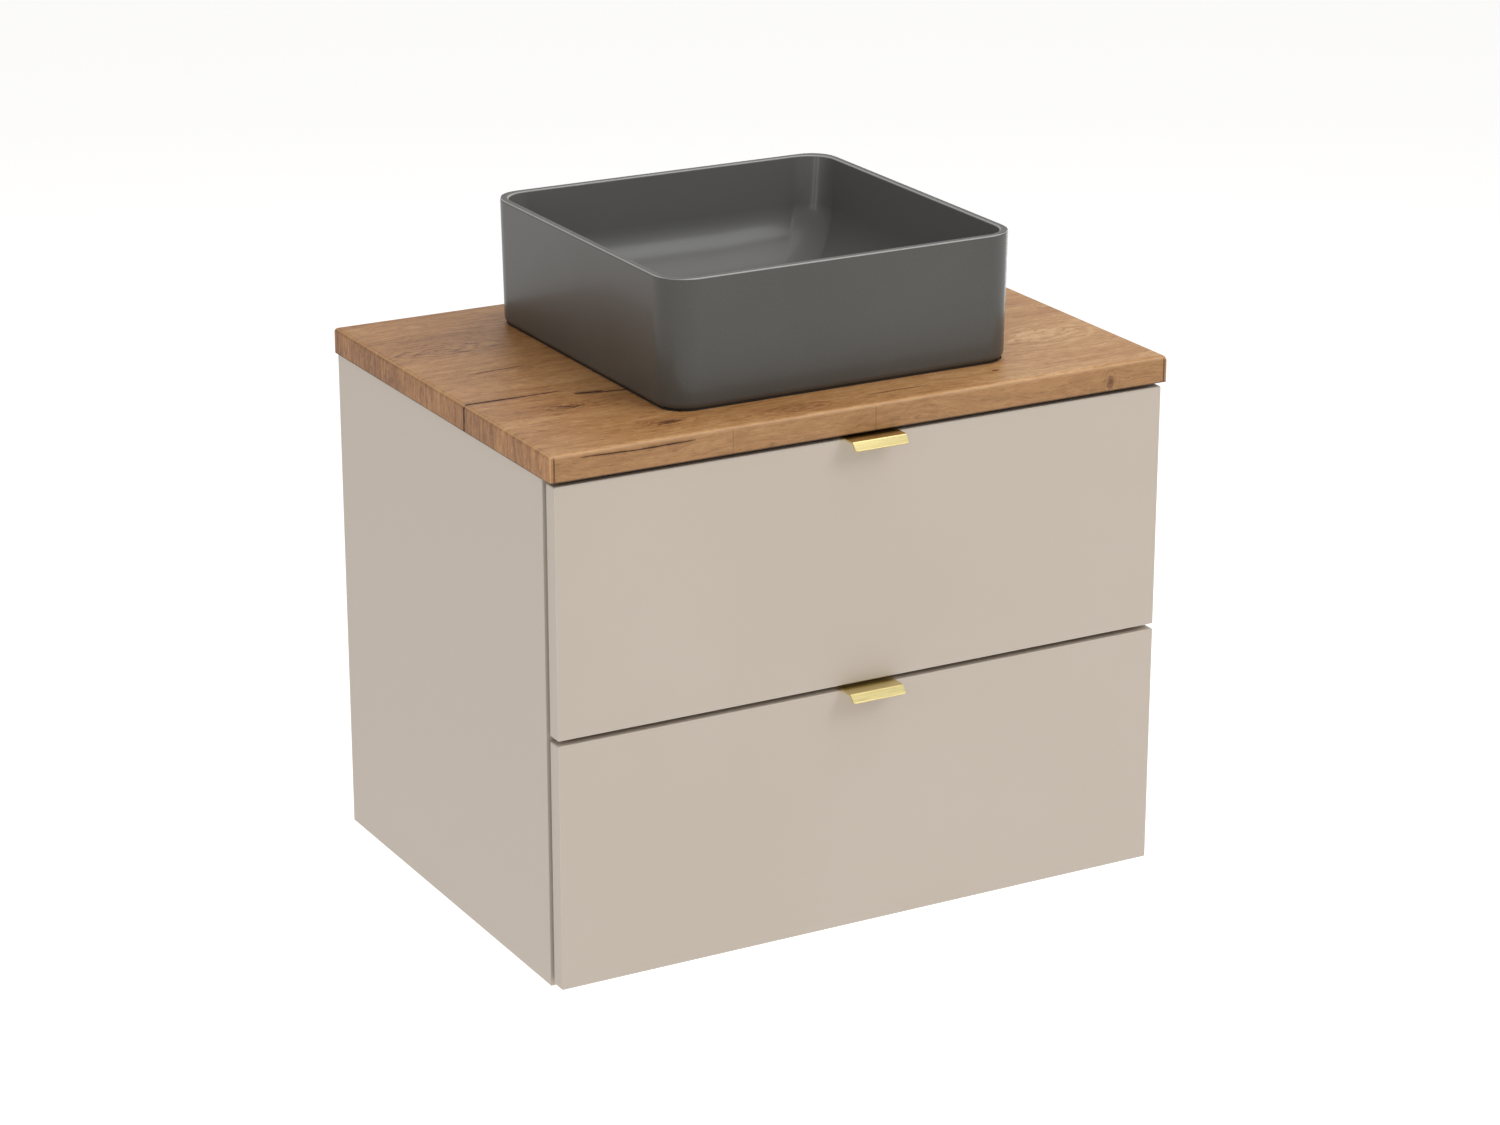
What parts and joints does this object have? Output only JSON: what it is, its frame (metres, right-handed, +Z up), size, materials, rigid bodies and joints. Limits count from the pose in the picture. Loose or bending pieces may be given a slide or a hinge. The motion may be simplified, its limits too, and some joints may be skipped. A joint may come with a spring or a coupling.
{
  "type": "vessel sink on vanity",
  "caption": "Wall-hung vanity with pull-out drawers, wood-look worktop, square vessel basin, folded brass edge pulls and a bottle trap behind the upper drawer.",
  "frame": {"origin": "middle of the hanging rail's back face, on the wall plane", "axes": "+X to the right of a person who faces the unit, +Y into the wall, +Z up"},
  "size_m": [0.606, 0.4596, 0.5976],
  "materials": {
    "taupe_lacquer": "silky matt lacquer on board",
    "oak_laminate": "wood-look laminate with knots and dark cracks",
    "graphite_glaze": "satin graphite glaze",
    "brushed_brass": "brushed brass",
    "zinc_steel": "zinc plated steel",
    "drawer_board": "plain melamine board",
    "white_plastic": "moulded plastic",
    "chrome_plate": "polished",
    "black_rubber": "matt rubber"
  },
  "bodies": {
    "cabinet": {"side_panel_left": "taupe_lacquer", "side_panel_right": "taupe_lacquer", "bottom_panel": "taupe_lacquer", "front_rail": "taupe_lacquer", "hanging_rail": "taupe_lacquer", "rear_rail_lower": "taupe_lacquer", "worktop": "oak_laminate", "basin": "graphite_glaze", "upper_runner_fixed_left": "zinc_steel", "upper_runner_fixed_right": "zinc_steel", "lower_runner_fixed_left": "zinc_steel", "lower_runner_fixed_right": "zinc_steel", "worktop_bracket_front_left": "zinc_steel", "worktop_bracket_front_right": "zinc_steel", "worktop_bracket_rear_left": "zinc_steel", "worktop_bracket_rear_right": "zinc_steel", "hanger_left": "white_plastic", "hanger_right": "white_plastic", "trap_inlet_tube": "white_plastic", "trap_nut": "white_plastic", "trap_body": "white_plastic", "trap_cup": "white_plastic", "trap_outlet_tube": "white_plastic", "waste_body": "chrome_plate", "waste_seal": "black_rubber", "waste_washer": "black_rubber", "waste_nut": "zinc_steel"},
    "upper_runner": {"upper_runner_middle_left": "zinc_steel", "upper_runner_middle_right": "zinc_steel"},
    "lower_runner": {"lower_runner_middle_left": "zinc_steel", "lower_runner_middle_right": "zinc_steel"},
    "plug": {"waste_plug": "chrome_plate"},
    "upper_drawer": {"upper_front": "taupe_lacquer", "upper_handle": "brushed_brass", "upper_base": "drawer_board", "upper_handle_screw_left": "zinc_steel", "upper_side_left": "drawer_board", "upper_front_bracket_left": "zinc_steel", "upper_runner_drawer_left": "zinc_steel", "upper_handle_screw_right": "zinc_steel", "upper_side_right": "drawer_board", "upper_front_bracket_right": "zinc_steel", "upper_runner_drawer_right": "zinc_steel", "upper_back_left": "drawer_board", "upper_back_right": "drawer_board", "upper_trap_bay": "drawer_board"},
    "lower_drawer": {"lower_front": "taupe_lacquer", "lower_handle": "brushed_brass", "lower_base": "drawer_board", "lower_handle_screw_left": "zinc_steel", "lower_side_left": "drawer_board", "lower_front_bracket_left": "zinc_steel", "lower_runner_drawer_left": "zinc_steel", "lower_handle_screw_right": "zinc_steel", "lower_side_right": "drawer_board", "lower_front_bracket_right": "zinc_steel", "lower_runner_drawer_right": "zinc_steel", "lower_back": "drawer_board"}
  },
  "joints": [
    {"name": "upper_drawer_slide", "type": "slide", "parent": "cabinet", "child": "upper_drawer", "axis": [0, -1, 0], "range_m": [0, 0.34]},
    {"name": "upper_runner_slide", "type": "slide", "parent": "cabinet", "child": "upper_runner", "axis": [0, -1, 0], "range_m": [0, 0.17]},
    {"name": "lower_drawer_slide", "type": "slide", "parent": "cabinet", "child": "lower_drawer", "axis": [0, -1, 0], "range_m": [0, 0.34]},
    {"name": "lower_runner_slide", "type": "slide", "parent": "cabinet", "child": "lower_runner", "axis": [0, -1, 0], "range_m": [0, 0.17]},
    {"name": "plug_slide", "type": "slide", "parent": "cabinet", "child": "plug", "axis": [0, 0, -1], "range_m": [0, 0.008], "stiffness_N_per_m": 400, "springref_m": -0.012}
  ],
  "couplings": [
    {"joint": "upper_runner_slide", "follows": "upper_drawer_slide", "ratio": 0.5},
    {"joint": "lower_runner_slide", "follows": "lower_drawer_slide", "ratio": 0.5}
  ]
}
